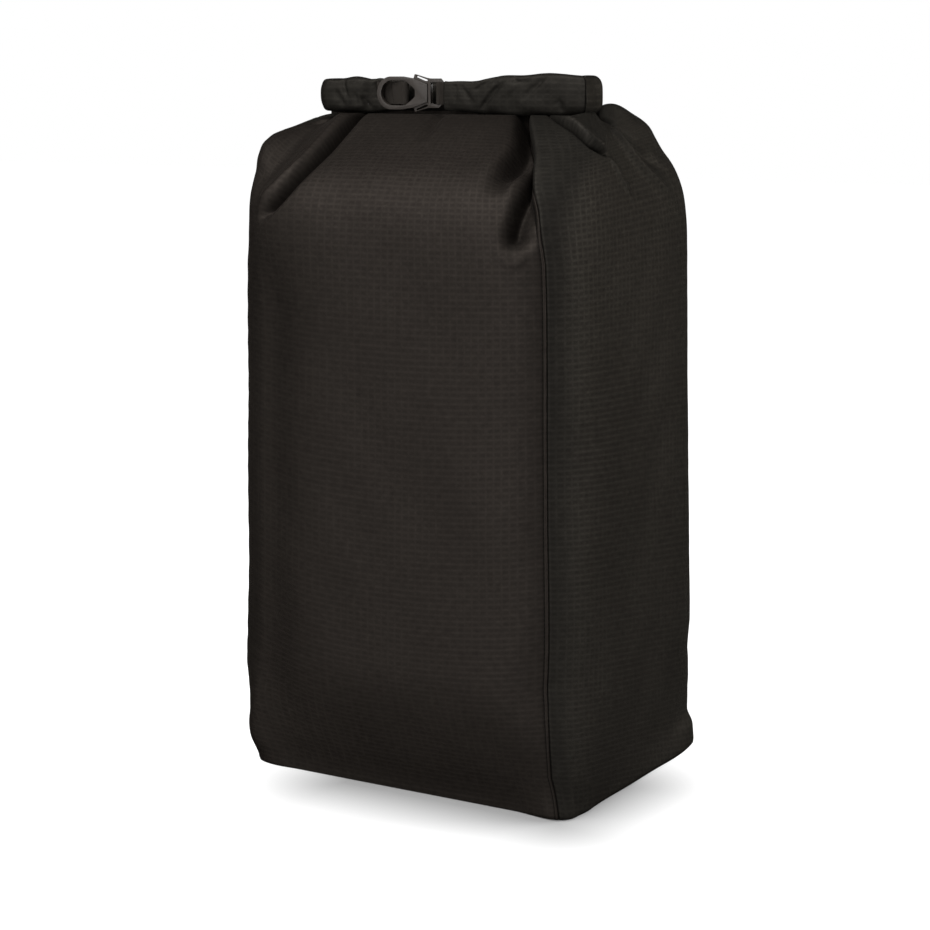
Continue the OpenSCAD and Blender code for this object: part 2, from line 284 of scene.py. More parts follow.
def moulded_plastic(name, level):
    """Moulded acetal: fine spark texture, a little polished by handling."""
    f = new_finish(name)
    place = f.node("TexCoord").outputs["Object"]
    grain = f.noise(place, 2600, 2)
    wear = f.noise(place, 160, 3)
    colour = f.mix(wear, grey(level * 0.8, 1.2, 0.86), grey(level * 1.25, 1.2, 0.86))
    return f.surface(Base_Color=colour, Roughness=0.34 + wear * 0.2 + grain * 0.06,
                     Normal=f.bump(grain, 0.05 * MM, 0.35), Specular_IOR_Level=PLASTIC_SHINE)


def sewing_thread(name, level):
    """Twisted polyester thread."""
    f = new_finish(name)
    place = f.node("SeparateXYZ", Vector=f.node("TexCoord").outputs["Object"])
    ply = ((f.wire(place, 2) + f.wire(place, 0) * 0.7) / PLY).part().step(0.2, 0.8)
    colour = f.mix(ply, grey(level * 0.6, 1.03, 0.97), grey(level * 1.4, 1.03, 0.97))
    return f.surface(Base_Color=colour, Roughness=0.7, Normal=f.bump(ply, 0.1 * MM, 0.6),
                     Specular_IOR_Level=CLOTH_SHINE)


def seam_film(name, level):
    """Welded seam tape: a cloudy film with a fine grain."""
    f = new_finish(name)
    place = f.node("TexCoord").outputs["Object"]
    cloudy = f.noise(place, 60, 3)
    colour = f.mix(cloudy, grey(level * 0.8), grey(level * 1.15))
    return f.surface(Base_Color=colour, Roughness=0.3 + cloudy * 0.2,
                     Normal=f.bump(f.noise(place, 900, 2), 0.1 * MM, 0.4))


# ---------------------------------------------------------------- studio

WHITE = (1, 1, 1, 1)
# How much light the paper gives back and the world gives, and the floor's reach
FLOOR_PAPER, SKY_LIGHT, FLOOR_REACH = 0.37, 0.12, 9
# How bright the white surroundings are in a gloss: most of a studio is dark
GLOSS_VIEW = 0.45
# The field round the sack where the floor's white glow is held back, a painted shadow, and how it
# fades to white around it
PAINTED_SHADOW_MIDDLE, PAINTED_SHADOW_HALF, PAINTED_SHADOW_FADE = (0.045, -0.069), (0.095, 0.049), (-0.035, 0.12)


def paper_floor():
    """Pale studio floor: white to the eye from its glow, apart from its real shadow and a painted
    shadow round the sack where the glow is held back.
    """
    f = new_finish("studio_floor")
    place = f.node("SeparateXYZ", Vector=f.node("TexCoord").outputs["Object"])
    aside, ahead = (((f.wire(place, k) - PAINTED_SHADOW_MIDDLE[k]).size() - PAINTED_SHADOW_HALF[k]).most(0.0)
                    for k in (0, 1))
    past_painted_shadow = (aside * aside + ahead * ahead) ** 0.5
    paper = f.out("BsdfDiffuse", Color=grey(FLOOR_PAPER))
    # the glow is held back near the sack, which paints a shadow there
    glow_round_painted_shadow = f.out("Emission", Color=WHITE, Strength=f.seen() * past_painted_shadow.step(*PAINTED_SHADOW_FADE))
    f.node("OutputMaterial", Surface=f.out("AddShader", _0=paper, _1=glow_round_painted_shadow))
    return f.owner


def build_studio():
    place_camera()
    scene = bpy.context.scene
    scene.view_settings.view_transform = "Standard"
    mesh = bpy.data.meshes.new("studio_floor")
    far = FLOOR_REACH
    corners = [(-far, -far, 0), (far, -far, 0), (far, far, 0), (-far, far, 0)]
    mesh.from_pydata(corners, [], [(0, 1, 2, 3)])
    mesh.materials.append(paper_floor())
    floor = put_in_scene("studio_floor", mesh)
    scene.world = bpy.data.worlds.new("studio")
    f = Finish(scene.world)
    sky = f.out("Background", Color=WHITE, Strength=SKY_LIGHT + f.seen() * (1 - SKY_LIGHT))
    f.node("OutputWorld", Surface=sky)
    place_softbox("overhead", (0, 0.4, 2.3), (0, 0, 0.2), (2.2, 1.6), OVERHEAD_WATTS)
    for name, (azimuth, elevation, size, watts) in SOFTBOXES.items():
        way = looking(math.radians(azimuth), math.radians(elevation))
        place_softbox(name, AIM + way * SOFTBOX_DISTANCE, AIM, (size, size), watts)


# ---------------------------------------------------------------- shape of the sack, in millimetres

FLOOR_WIDTH, FLOOR_DEPTH, FLOOR_SHIFT = 300, 236, 4
WAIST_WIDTH, WAIST_DEPTH, WAIST_LEVEL, LEAN = 300, 280, 150, 0.0206
SHOULDER_LEVEL, NECK_LEVEL, NECK_WIDTH, NECK_DEPTH, NECK_LEFT = 350, 517, 248, 7.6, 12
SHOULDER_TILT, FLOOR_ROUND, FLOOR_BLEND = 0.15, 3.5, 110
# How square the sack is, and how late its width and depth close towards the neck
FLOOR_SQUARE, WAIST_SQUARE, NECK_SQUARE = 14, 5.3, 5
WIDTH_HOLD, DEPTH_HOLD = 8, 5.2
ROLL_BOTTOM, ROLL_HEIGHT, ROLL_DEPTH, RUN_GAP, BACK_RUN = 521, 27, 14.8, 0.6, -6
ROLL_LEFT, ROLL_RIGHT = -130, 110
BUCKLE_LEFT, BUCKLE_Y, BUCKLE_LEVEL = -71.4, -24.8, 535.5
# The maps of the roll and the floor start far from those of the panels
ROLL_MAP = 2000
# Half widths of the cut panels, along the cloth, and the back right corner's place round the sack
FRONT_HALF, SIDE_HALF = 140, 120
RING = 4 * (FRONT_HALF + SIDE_HALF)
BACK_CORNER = FRONT_HALF + 2 * SIDE_HALF


def clamp(t): return np.clip(t, 0, 1)


def ease(t):
    t = clamp(t)
    return t * t * (3 - 2 * t)


def within(t, first, last, blend_in, blend_out):
    """1 between first and last. It starts smoothly after first and ends smoothly before last."""
    return ease((t - first) / blend_in) * ease((last - t) / blend_out)


def between(a, b, t): return a + (b - a) * t


def hill(t): return np.exp(-t * t)


def unit(vectors):
    return vectors / np.maximum(np.linalg.norm(vectors, axis=-1, keepdims=True), 1e-9)


def run_along(points):
    """Length along a line of points, from the first to each of them."""
    return np.concatenate([[0], np.cumsum(np.linalg.norm(np.diff(points, axis=0), axis=1))])


def rise(z): return clamp((z - SHOULDER_LEVEL) / (NECK_LEVEL - SHOULDER_LEVEL))


def closing(z, hold): return np.sqrt(np.maximum(0, 1 - rise(z) ** hold))


def narrowing(z):
    return 1 - LEAN * (np.minimum(z, SHOULDER_LEVEL) - WAIST_LEVEL) / (SHOULDER_LEVEL - WAIST_LEVEL)


def tuck(z):
    t = clamp(1 - z / FLOOR_ROUND)
    return FLOOR_ROUND * (1 - np.sqrt(1 - t * t))


def half_size(z, floor, waist, neck, hold):
    low = between(floor / 2, waist / 2 * narrowing(z), ease(z / FLOOR_BLEND))
    return between(neck / 2, low, closing(z, hold)) - tuck(z)


def wall_point(q, z):
    """Point of the wall. q goes round the sack along the cloth, to the right from the middle of
    the front."""
    q = (q + BACK_CORNER) % RING - BACK_CORNER
    front, back = np.abs(q) <= FRONT_HALF, q >= BACK_CORNER
    right = (q > FRONT_HALF) & (q < BACK_CORNER)
    sides = [front, right, back]
    middle = np.select(sides, [0, RING / 4, RING / 2], -RING / 4)
    share = (q - middle) / np.where(front | back, FRONT_HALF, SIDE_HALF)
    lower = between(FLOOR_SQUARE, WAIST_SQUARE, ease(z / FLOOR_BLEND))
    n = between(lower, NECK_SQUARE, rise(z) ** 3)
    along = 2 ** (-1 / n) * share
    bulge = np.maximum(0, 1 - np.abs(along) ** n) ** (1 / n)
    wide = half_size(z, FLOOR_WIDTH, WAIST_WIDTH, NECK_WIDTH, WIDTH_HOLD)
    deep = half_size(z, FLOOR_DEPTH, WAIST_DEPTH, NECK_DEPTH, DEPTH_HOLD)
    x = wide * np.select(sides, [along, bulge, -along], -bulge)
    y = deep * np.select(sides, [-bulge, along, bulge], -along)
    up = rise(z)
    shift = between(FLOOR_SHIFT * (1 - ease(z / FLOOR_BLEND)), BACK_RUN, up ** 4)
    return np.stack([x - NECK_LEFT * up ** 3, y + shift, z + SHOULDER_TILT * up ** 2 * y], -1)


# Heights along the cloth, measured up the middle of the front, in finer steps below the neck
LOWEST, FINE_BELOW_NECK, TABLE_STEPS = 0.6, 37, 3000
coarse_z = np.linspace(LOWEST, NECK_LEVEL - FINE_BELOW_NECK, TABLE_STEPS)
fine_z = NECK_LEVEL - FINE_BELOW_NECK * (1 - np.linspace(0, 1, TABLE_STEPS)[1:]) ** 2
table_z = np.concatenate([coarse_z, fine_z])
table_h = run_along(wall_point(np.zeros_like(table_z), table_z))
CLOTH_TOP = table_h[-1]


def level_of(h): return np.interp(h, table_h, table_z)


def smooth_line(points, steps=24):
    """A curve through the given points, close enough together to measure from."""
    p = np.array(points, float)
    p = np.concatenate([[2 * p[0] - p[1]], p, [2 * p[-1] - p[-2]]])
    made = []
    for a, b, c, d in zip(p, p[1:], p[2:], p[3:]):
        t = np.linspace(0, 1, max(2, steps // (len(points) - 1)), endpoint=False)[:, None]
        made.append(0.5 * (2 * b + (c - a) * t + (2 * a - 5 * b + 4 * c - d) * t ** 2
                           + (3 * b - a - 3 * c + d) * t ** 3))
    return np.concatenate(made + [p[-2:-1]])


class Crease:
    """A line on the cloth. For each point of the cloth it gives the share of the way along it,
    the distance across it, positive to its left, and the direction across it."""

    FAR = 1e9

    def __init__(self, points, q, h):
        line = smooth_line(points)
        spans = np.diff(line, axis=0)
        lengths = np.linalg.norm(spans, axis=1)
        before = run_along(line)
        best = np.full(q.shape, self.FAR)
        self.share, self.across = np.zeros(q.shape), np.full(q.shape, self.FAR)
        self.way = np.zeros(q.shape + (2,))
        for (a, b), d, size, start in zip(line[:-1], spans, lengths, before):
            t = clamp(((q - a) * d[0] + (h - b) * d[1]) / size ** 2)
            x, y = q - a - d[0] * t, h - b - d[1] * t
            far = np.hypot(x, y)
            nearer = far < best
            best = np.where(nearer, far, best)
            side = np.where(d[0] * y - d[1] * x >= 0, 1.0, -1.0)
            self.across = np.where(nearer, far * side, self.across)
            self.share = np.where(nearer, (start + t * size) / before[-1], self.share)
            self.way[nearer] = (-d[1] / size, d[0] / size)

    def strength(self, fade_in, fade_out):
        first = ease(self.share / fade_in) if fade_in else 1.0
        last = ease((1 - self.share) / fade_out) if fade_out else 1.0
        return first * last


class Cloth:
    """What the folds do to the cloth: a move along it in two directions, and one out of it."""

    # A lip's crest: how rounded it is, and the reach of its inner flank and of its overlap
    CREST_ROUND, INNER_FLANK, OVERLAP_FROM, LEAST_CREST = 0.15, 0.62, 0.7, 0.04

    def __init__(self, q, h):
        self.q, self.h = q, h
        self.out = np.zeros(q.shape)
        self.move = np.zeros(q.shape + (2,))

    def groove(self, points, depth, width, fade=(0, 0.4), lean=0.0, only=1.0):
        """A soft valley, or a ridge where the depth is negative. A positive lean makes its left side
        steeper."""
        c = Crease(points, self.q, self.h)
        reach = width * np.where(c.across > 0, 1 - lean, 1 + lean)
        self.out -= depth * c.strength(*fade) * hill(c.across / reach) * only

    def lip(self, points, ridge, at, flank, depth, slit, overlap, fade=(0, 0.3)):
        """A fold that lies over its neighbour: a crest at a distance from the line, with a slow outer
        flank and a steep inner one, a slit on the line, and an overlap of the crest over the slit."""
        c = Crease(points, self.q, self.h)
        strength = c.strength(*fade)
        near, crest = abs(at), abs(at) * np.sqrt(np.maximum(strength, self.LEAST_CREST))
        u = c.across * math.copysign(1, at)
        fall = np.sqrt(((u - crest) / flank) ** 2 + self.CREST_ROUND ** 2)
        outer = np.exp(self.CREST_ROUND - fall)
        inner = hill((u - crest) / (self.INNER_FLANK * crest))
        self.out += strength * (ridge * np.where(u > crest, outer, inner) - depth * hill(u / slit))
        laid = hill((u - crest * self.OVERLAP_FROM) / near)
        self.move += (-math.copysign(overlap, at) * strength * laid)[..., None] * c.way


# ---------------------------------------------------------------- folds of the cloth

# How far the front right seam is drawn aside at heights along the cloth, and how far that is felt
PULL_HEIGHTS = [0, 10, 35, 55, 76, 96, 116, 137, 178, 260,
                340, 420, 442, 460, 475, 491, 512, 543, 598]
SEAM_PULL = [-5, -6, -8, -5.6, -2.5, 0.1, 1, 1.4, 1, 0.8,
             0.3, -0.5, -3, -4.8, -8, -10.5, -12.8, -24, -50]
PULL_REACH = 62
# How far the front's cloth goes on round the front left corner
CORNER_SHIFT, CORNER_REACH = 26, 60
# Place of each corner seam round the sack, and the side of it that carries the stitched band
SEAMS = {"front_right": (FRONT_HALF, -1), "back_right": (BACK_CORNER, 1),
         "front_left": (-FRONT_HALF, 1), "back_left": (-BACK_CORNER, -1)}
BAND, BAND_THICK = 2.5, 0.45
# How far each lower corner stands out
EARS = {"front_right": 2.5, "back_right": 1, "front_left": -5.5, "back_left": 2}
# Depth and reach of the seam itself and of the needle line, and height and pitch of the gathers
SEAM_DENT, NEEDLE_DENT, GATHER = (1.0, 0.8), (0.6, 0.6), (0.16, 19)
# Lowest level of the cloth, and the rows at its top that go up into the roll
CLOTH_LEVEL, HIDDEN_TOP = 0.4, 6


def round_gap(q, seam):
    """Distance round the sack from a seam, signed."""
    return (q - seam + RING / 2) % RING - RING / 2


def ripple(q, h, wave_q, wave_h, seed, waves=7):
    """Soft unevenness made of a few long waves."""
    rng = np.random.default_rng(seed)
    total = np.zeros(q.shape)
    for _ in range(waves):
        turn = rng.uniform(0, math.tau, 2)
        rate = rng.uniform(0.6, 1.7, 2)
        cycles = max(1, round(RING / wave_q * rate[0]))
        total += (np.sin(math.tau * cycles * q / RING + turn[0])
                  * np.sin(math.tau * h / wave_h * rate[1] + turn[1]))
    return total / waves ** 0.5


def drawn(q, h):
    """Where round the plain wall the cloth lies, after the pull at its two front seams."""
    pull = np.interp(h, PULL_HEIGHTS, SEAM_PULL) * hill(round_gap(q, FRONT_HALF) / PULL_REACH)
    turned = CORNER_SHIFT * hill((q + FRONT_HALF) / CORNER_REACH) * within(h, 8, 602, 60, 40)
    return q + pull - turned


def fold_left_shoulder(cloth):
    """One straight pleat laid over the front, between two valleys."""
    cloth.lip([(-92, 598), (-84, 548), (-85, 500), (-97, 473), (-113, 456), (-128, 444)],
              ridge=5.5, at=-13, flank=11, depth=11, slit=3.8, overlap=2.6, fade=(0.05, 0.14))
    cloth.groove([(-136, 590), (-130, 548), (-129, 503), (-136, 478), (-146, 460)],
                 depth=8, width=18, fade=(0.1, 0.2))
    cloth.groove([(-86, 575), (-80, 545), (-81, 503), (-93, 474), (-109, 456), (-124, 446)],
                 depth=4, width=7, fade=(0.2, 0.25), lean=0.4)


def fold_right_shoulder(cloth):
    """The side's edge lies over two valleys that run down the front from it."""
    edge = [(89, 600), (115, 545), (126, 514), (129, 492), (131, 470), (135, 450)]
    longer = Crease(edge + [(140, 425), (140, 400)], cloth.q, cloth.h)
    under = ease((1.5 - longer.across) / 4)
    cloth.lip(edge, ridge=2.6, at=4.5, flank=17, depth=6, slit=2.2, overlap=4.5, fade=(0, 0.35))
    cloth.groove([(91, 598), (105, 560), (111, 535), (107, 508), (101, 486), (95, 464)],
                 depth=19, width=14, fade=(0, 0.4), lean=-0.3, only=under)
    cloth.groove([(133, 515), (129, 480), (123, 457), (119, 441), (119, 426)],
                 depth=14, width=9, fade=(0.2, 0.16), lean=-0.25, only=under)
    cloth.groove([(124, 524), (117, 501), (112, 480), (108, 460)],
                 depth=-3.5, width=5, fade=(0.2, 0.5), only=under)
    cloth.groove([(104, 427), (117, 420), (129, 426)], depth=-1.0, width=3, fade=(0.3, 0.3))


def fold_right_side(cloth):
    """A lip under the roll, ridges and valleys that run to the back, and a valley on the front."""
    cloth.lip([(98, 602), (141, 556), (173, 524.5), (201, 506), (215, 498)],
              ridge=5.5, at=6, flank=13, depth=9, slit=2.6, overlap=3.6, fade=(0, 0.16))
    cloth.groove([(241, 546), (258, 508), (281, 478), (333, 447)],
                 depth=-4, width=5.6, fade=(0.15, 0.3), lean=0.2)
    cloth.groove([(252, 552), (276, 512), (303, 484), (350, 456)],
                 depth=4, width=8, fade=(0.15, 0.4))
    cloth.groove([(214, 500), (232, 475), (256, 450)], depth=-2, width=2.8, fade=(0.3, 0.4))
    cloth.groove([(236, 598), (255, 572), (275, 540)], depth=8, width=8, fade=(0, 0.5))
    cloth.groove([(2, 592), (6, 566), (10, 547), (8, 524)],
                 depth=3, width=6, fade=(0.15, 0.5), lean=0.3)


def fold_back_and_left(cloth):
    """Pleats of the same kind at the back shoulders, and valleys in the left side and the back."""
    pleat = {"ridge": 5, "flank": 16, "depth": 8, "slit": 2.6, "overlap": 4, "fade": (0.05, 0.2)}
    cloth.lip([(610, 598), (600, 545), (598, 500), (612, 465), (630, 445)], at=7, **pleat)
    cloth.lip([(430, 598), (441, 545), (440, 500), (424, 468), (406, 448)], at=-7, **pleat)
    cloth.groove([(-232, 598), (-240, 560), (-252, 510), (-262, 460)],
                 depth=5, width=9, fade=(0, 0.5))
    cloth.groove([(520, 598), (530, 560), (524, 520)], depth=3, width=9, fade=(0, 0.6))


def fullness(q, drawn_q, h):
    """How far the stuffed cloth stands out from the plain wall."""

    def mound(height, sideways, upwards, q=q):
        """A soft bump, or a hollow where the height is negative: place and reach round the sack, then
        up it."""
        return height * hill((q - sideways[0]) / sideways[1]) * hill((h - upwards[0]) / upwards[1])

    edge, wide_edge = (0, 20), (0, 22)
    # fuller left shoulder, leaner right one, and cloth that stands up behind the roll's right end
    up = mound(7, (-174, 34), (510, 30), drawn_q)
    up += mound(-8.5, (345, 48), (488, 26)) + mound(10, (338, 55), (580, 36))
    # the front is drawn up against the underside of the roll
    up += 7.5 * within(h, 505, CLOTH_TOP + 1, 75, 8) * within(q, -132, 240, 18, 60)
    # the lower edge: drawn in along the front and right of the front corner, out towards the back
    up += mound(-4, (156, 13), wide_edge)
    up -= 4.6 * within(q, -136, 136, 40, 40) * hill(h / wide_edge[1])
    up -= 2.5 * within(q, 160, 250, 25, 60) * hill(h / edge[1])
    up += mound(1.5, (285, 45), edge) + mound(4.5, (335, 36), edge)
    # the back right corner: full, with a hollow above the floor
    up += mound(2.5, (365, 45), (140, 60))
    up -= 4.2 * hill((q - 368) / 36) * within(h, 17, 114, 13, 32)
    # the left side: full all the way up, and most near the floor and under the shoulder
    up += 2.5 * hill((q + 175) / 60) * within(h, 0, 520, 80, 120)
    up += mound(3.2, (-150, 26), (30, 22)) + mound(1.8, (-180, 30), (55, 25))
    up += mound(3.2, (-182, 30), (418, 24))
    # the front rolls round to the left side in a wide curve
    curve = 12.5 * hill((drawn_q + 184) / 36) - 12 * hill((drawn_q + 126) / 40)
    return up + within(h, 0, 470, 90, 90) * curve


def seam_relief(q, h, wall):
    """The stitched bands and their needle lines, the gathers beside them, and the lower corners."""
    up = np.zeros(q.shape)
    sewn = ease((CLOTH_TOP - 20 - h) / 40)
    for corner, (seam, side) in SEAMS.items():
        gap = round_gap(q, seam)
        on_band = gap * side
        up += sewn * BAND_THICK * within(on_band, -0.3, BAND + 0.4, 0.6, 0.8)
        up -= sewn * SEAM_DENT[0] * hill(gap / SEAM_DENT[1])
        up -= sewn * NEEDLE_DENT[0] * hill((on_band - BAND) / NEEDLE_DENT[1])
        waver = np.sin(math.tau * h / GATHER[1] + 2.4 * np.sin(h / 37 + seam) + seam)
        up += GATHER[0] * hill(gap / 13) * waver * wall
        up += EARS[corner] * hill(gap / 18) * hill(h / 15)
    return up


def wall_normal(q, h, step=1.5):
    """Direction out of the plain wall."""
    z = level_of(h)
    higher, lower = level_of(np.minimum(h + step, CLOTH_TOP)), level_of(np.maximum(h - step, 0))
    sideways = wall_point(q + step, z) - wall_point(q - step, z)
    return unit(np.cross(sideways, wall_point(q, higher) - wall_point(q, lower)))


def closed_mouth(place, h):
    """The place of the cloth, drawn in at its mouth to the ends of the roll and under it."""
    x, z = place[..., 0], place[..., 2]
    slack, draw = 0.9 * np.maximum(0, CLOTH_TOP - h), 0.9
    x += draw * np.maximum(0, ROLL_LEFT + 4 - slack - x)
    x -= draw * np.maximum(0, x - ROLL_RIGHT + 3 - slack)
    # the cloth lies against the underside of the roll, and its last rows go up into it
    covered = within(x, ROLL_LEFT, ROLL_RIGHT + 2, 6, 6)
    z -= covered * np.maximum(0, z - ROLL_BOTTOM + 1.5)
    z += np.maximum(0, h - CLOTH_TOP)
    place[..., 2] = np.maximum(z, CLOTH_LEVEL)
    return place


def folded(q, h, inset=0.0):
    """Place of the cloth at q round the sack and h up it, with its folds, in millimetres.
    An inset lies that far inside it."""
    drawn_q = drawn(q, h)
    cloth = Cloth(drawn_q, h)
    fold_left_shoulder(cloth)
    fold_right_shoulder(cloth)
    fold_right_side(cloth)
    fold_back_and_left(cloth)
    up = cloth.out * ease((CLOTH_TOP - 1 - h) / 15) + fullness(q, drawn_q, h)
    # slack in the walls, and gathers at the seams
    wall = within(h, 0, CLOTH_TOP, 60, 90)
    up += wall * (0.9 * ripple(q, h, 190, 230, 3) + 0.35 * ripple(q, h, 75, 110, 8))
    up += seam_relief(q, h, wall) - inset
    move = cloth.move * ease((CLOTH_TOP - 6 - h) / 30)[..., None]
    at_q, at_h = drawn_q + move[..., 0], np.minimum(h + move[..., 1], CLOTH_TOP)
    normal = wall_normal(at_q, at_h)
    # near the floor the cloth moves level
    normal[..., 2] *= ease((h - 4) / 20)
    return closed_mouth(wall_point(at_q, level_of(at_h)) + normal * up[..., None], h)


# ---------------------------------------------------------------- cloth panels


def grid_mesh(name, points, flat, closed=False):
    """A mesh from a grid of points in millimetres: rows go upwards, and columns to the right as seen
    from outside. Where the columns close to a tube, the map has one column more than the points."""
    rows, cols = points.shape[:2]
    i, j = np.meshgrid(np.arange(rows - 1), np.arange(cols if closed else cols - 1), indexing="ij")

    def corners(width, right):
        below, above = i * width, (i + 1) * width
        return np.stack([below + j, below + right, above + right, above + j], -1).reshape(-1)

    loops = corners(cols, (j + 1) % cols)
    mesh = bpy.data.meshes.new(name)
    mesh.vertices.add(rows * cols)
    mesh.vertices.foreach_set("co", (points * MM).reshape(-1).astype(np.float32))
    mesh.loops.add(loops.size)
    mesh.loops.foreach_set("vertex_index", loops.astype(np.int32))
    mesh.polygons.add(loops.size // 4)
    mesh.polygons.foreach_set("loop_start", np.arange(0, loops.size, 4, dtype=np.int32))
    mesh.polygons.foreach_set("loop_total", np.full(loops.size // 4, 4, dtype=np.int32))
    mesh.update(calc_edges=True)
    spread = flat.reshape(-1, 2)[corners(flat.shape[1], j + 1)] * MM
    mesh.uv_layers.new(name="cloth").data.foreach_set("uv", spread.reshape(-1).astype(np.float32))
    mesh.polygons.foreach_set("use_smooth", np.ones(len(mesh.polygons), dtype=bool))
    return put_in_scene(name, mesh)


def dress(piece, material, body, slot, *nodes):
    """Gives a piece its finish and the one body that it rides on, if any, and hides the parts of the
    model that it stands for.
    """
    piece.data.materials.clear()
    piece.data.materials.append(material)
    if body:
        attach(piece, body)
    if nodes:
        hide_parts(*nodes)


def spaced(*parts):
    """Values from a list of (end, step) spans that start at the first end."""
    made = [np.array([parts[0][0]], float)]
    for (start, _), (end, step) in zip(parts, parts[1:]):
        made.append(np.linspace(start, end, max(1, round((end - start) / step)) + 1)[1:])
    return np.concatenate(made)


ROWS = spaced((0, 0), (36, 2.4), (400, 5), (CLOTH_TOP, 1.15), (CLOTH_TOP + HIDDEN_TOP, 1.5))
# Distances of the first columns from a seam, and spacing of the others on seen and unseen panels
EDGE = np.array([0, 0.35, 0.7, 1.05, 1.4, 1.9, 2.4, 2.9, 3.4, 4.2, 5.2, 6.4])
SEEN, UNSEEN = 1.1, 1.6
PANELS = {"front": (-FRONT_HALF, FRONT_HALF, SEEN), "right": (FRONT_HALF, BACK_CORNER, SEEN),
          "back": (BACK_CORNER, RING - BACK_CORNER, UNSEEN),
          "left": (-BACK_CORNER, -FRONT_HALF, UNSEEN)}
ROUND_THE_SACK = [PANELS[side] for side in ("left", "front", "right", "back")]
# Thread rows, by height: how far they hang in the middle of the front, and how steeply they fall
# along the sides
HANG = ([0, 50, 120, 180, 245, 310, 375, 440, 500], [4, 9, 11.5, 12, 10, 7.5, 4.5, 1, 0])
FALL = ([0, 50, 115, 180, 245, 310, 375, 440], [0.17, 0.165, 0.15, 0.12, 0.082, 0.05, 0.01, 0])
# Seam tapes: half their width, and how far inside the cloth they lie
TAPE_HALF, TAPE_INSET, FLOOR_TAPE_INSET = 10, 0.9, 1.0


def grain(side, q, h):
    """How far the rows of threads lie below the level of the cloth: they hang in the middle of the
    front and the back, and run down to the back on the sides."""
    if side in ("front", "back"):
        middle = 0 if side == "front" else RING / 2
        return np.interp(h, *HANG) * (1 - ((q - middle) / FRONT_HALF) ** 2)
    return np.interp(h, *FALL) * (np.abs(q) - FRONT_HALF)


def build_panels(materials):
    for side, (first, last, step) in PANELS.items():
        inner = spaced((first + EDGE[-1], 0), (last - EDGE[-1], step))
        q, h = np.meshgrid(np.concatenate([first + EDGE[:-1], inner, last - EDGE[-2::-1]]), ROWS)
        piece = grid_mesh(side + "_cloth", folded(q, h), np.stack([q, h + grain(side, q, h)], -1))
        dress(piece, materials[side], "sack", "ripstop", side + "_panel")
        (last - first) * MM


def build_tapes(material):
    """Tape welded over each corner seam, on the inside of the cloth."""
    heights = ROWS[(ROWS > 4) & (ROWS < CLOTH_TOP - 75)][::2]
    for corner, (seam, _) in SEAMS.items():
        q, h = np.meshgrid(seam + np.linspace(-TAPE_HALF, TAPE_HALF, 13), heights)
        piece = grid_mesh(corner + "_film", folded(q, h, TAPE_INSET), np.stack([q, h], -1))
        dress(piece, material, "sack", "seam_tape", corner + "_tape")


def build_floor_tape(material):
    """Tape round the lower edge, on the inside of the walls."""
    around = np.concatenate([np.linspace(first, last, 90, endpoint=False)
                             for first, last, _ in ROUND_THE_SACK])
    q, h = np.meshgrid(around, np.linspace(2.5, 14, 6))
    flat = np.stack(np.meshgrid(np.append(around, around[0] + RING), h[:, 0]), -1)
    piece = grid_mesh("floor_film", folded(q, h, FLOOR_TAPE_INSET), flat, closed=True)
    dress(piece, material, "sack", "seam_tape", "floor_tape")


def build_floor(material):
    """The floor cloth: rings from the walls' lower edge inwards."""
    around = np.concatenate([np.linspace(first, last, round((last - first) / step), endpoint=False)
                             for first, last, step in ROUND_THE_SACK])
    edge = folded(around, np.zeros_like(around))
    shares = np.array([1, 0.97, 0.9, 0.75, 0.5, 0.25, 0.02])
    rings = edge[None] * np.array([1, 1, 0]) * shares[:, None, None]
    inward = 1 - shares[:, None]
    rings[..., 2] = CLOTH_LEVEL + inward * (0.35 + 0.15 * np.sin(rings[..., 0] / 23))
    rings = rings[:, ::-1]
    flat = np.concatenate([rings, rings[:, :1]], 1)[..., :2]
    piece = grid_mesh("floor_cloth", rings, flat, closed=True)
    mesh = bmesh.new()
    mesh.from_mesh(piece.data)
    mesh.verts.ensure_lookup_table()
    last_ring = (len(shares) - 1) * len(around)
    mesh.faces.new([mesh.verts[last_ring + k] for k in range(len(around))])
    bmesh.ops.recalc_face_normals(mesh, faces=mesh.faces)
    flat = mesh.loops.layers.uv["cloth"]
    for face in mesh.faces:
        if face.normal.z > 0:
            face.normal_flip()
        for loop in face.loops:
            loop[flat].uv = loop.vert.co.xy + Vector((1.5 * ROLL_MAP * MM, 0))
    mesh.to_mesh(piece.data)
    mesh.free()
    dress(piece, material, "sack", "ripstop", "floor_panel")


# ---------------------------------------------------------------- rolled collar

FRONT_RUN = BACK_RUN - ROLL_DEPTH - RUN_GAP
ROLL_MIDDLE = ROLL_BOTTOM + ROLL_HEIGHT / 2
HALF_DEEP = ROLL_DEPTH / 2
ARM_REAR = FRONT_RUN + HALF_DEEP
TURN = (ROLL_DEPTH + RUN_GAP) / 2
LEFT_TURN = ROLL_LEFT + TURN + HALF_DEEP
RIGHT_TURN = ROLL_RIGHT + 2.6 - HALF_DEEP
# Ends of the two front arms, and how far before the right turn the square end and the right arm start
LEFT_ARM_END, RIGHT_ARM_END, SQUARE_END, ARM_START = -57, -12, 9, 12
RING_STEP, ARM_STEP = 1.5, 1.2
# Upper and lower edge of the roll at its left turn, and the lower edge at its right end
TURN_TOP, TURN_LOW, END_LOW = 12, -13.2, -14
ANGLES = np.linspace(0, math.tau, 96, endpoint=False)


def profile(*knots):
    """A smooth line through (x, value) pairs, as a function of x."""
    line = smooth_line(knots, 60)
    return lambda x: np.interp(x, line[:, 0], line[:, 1])


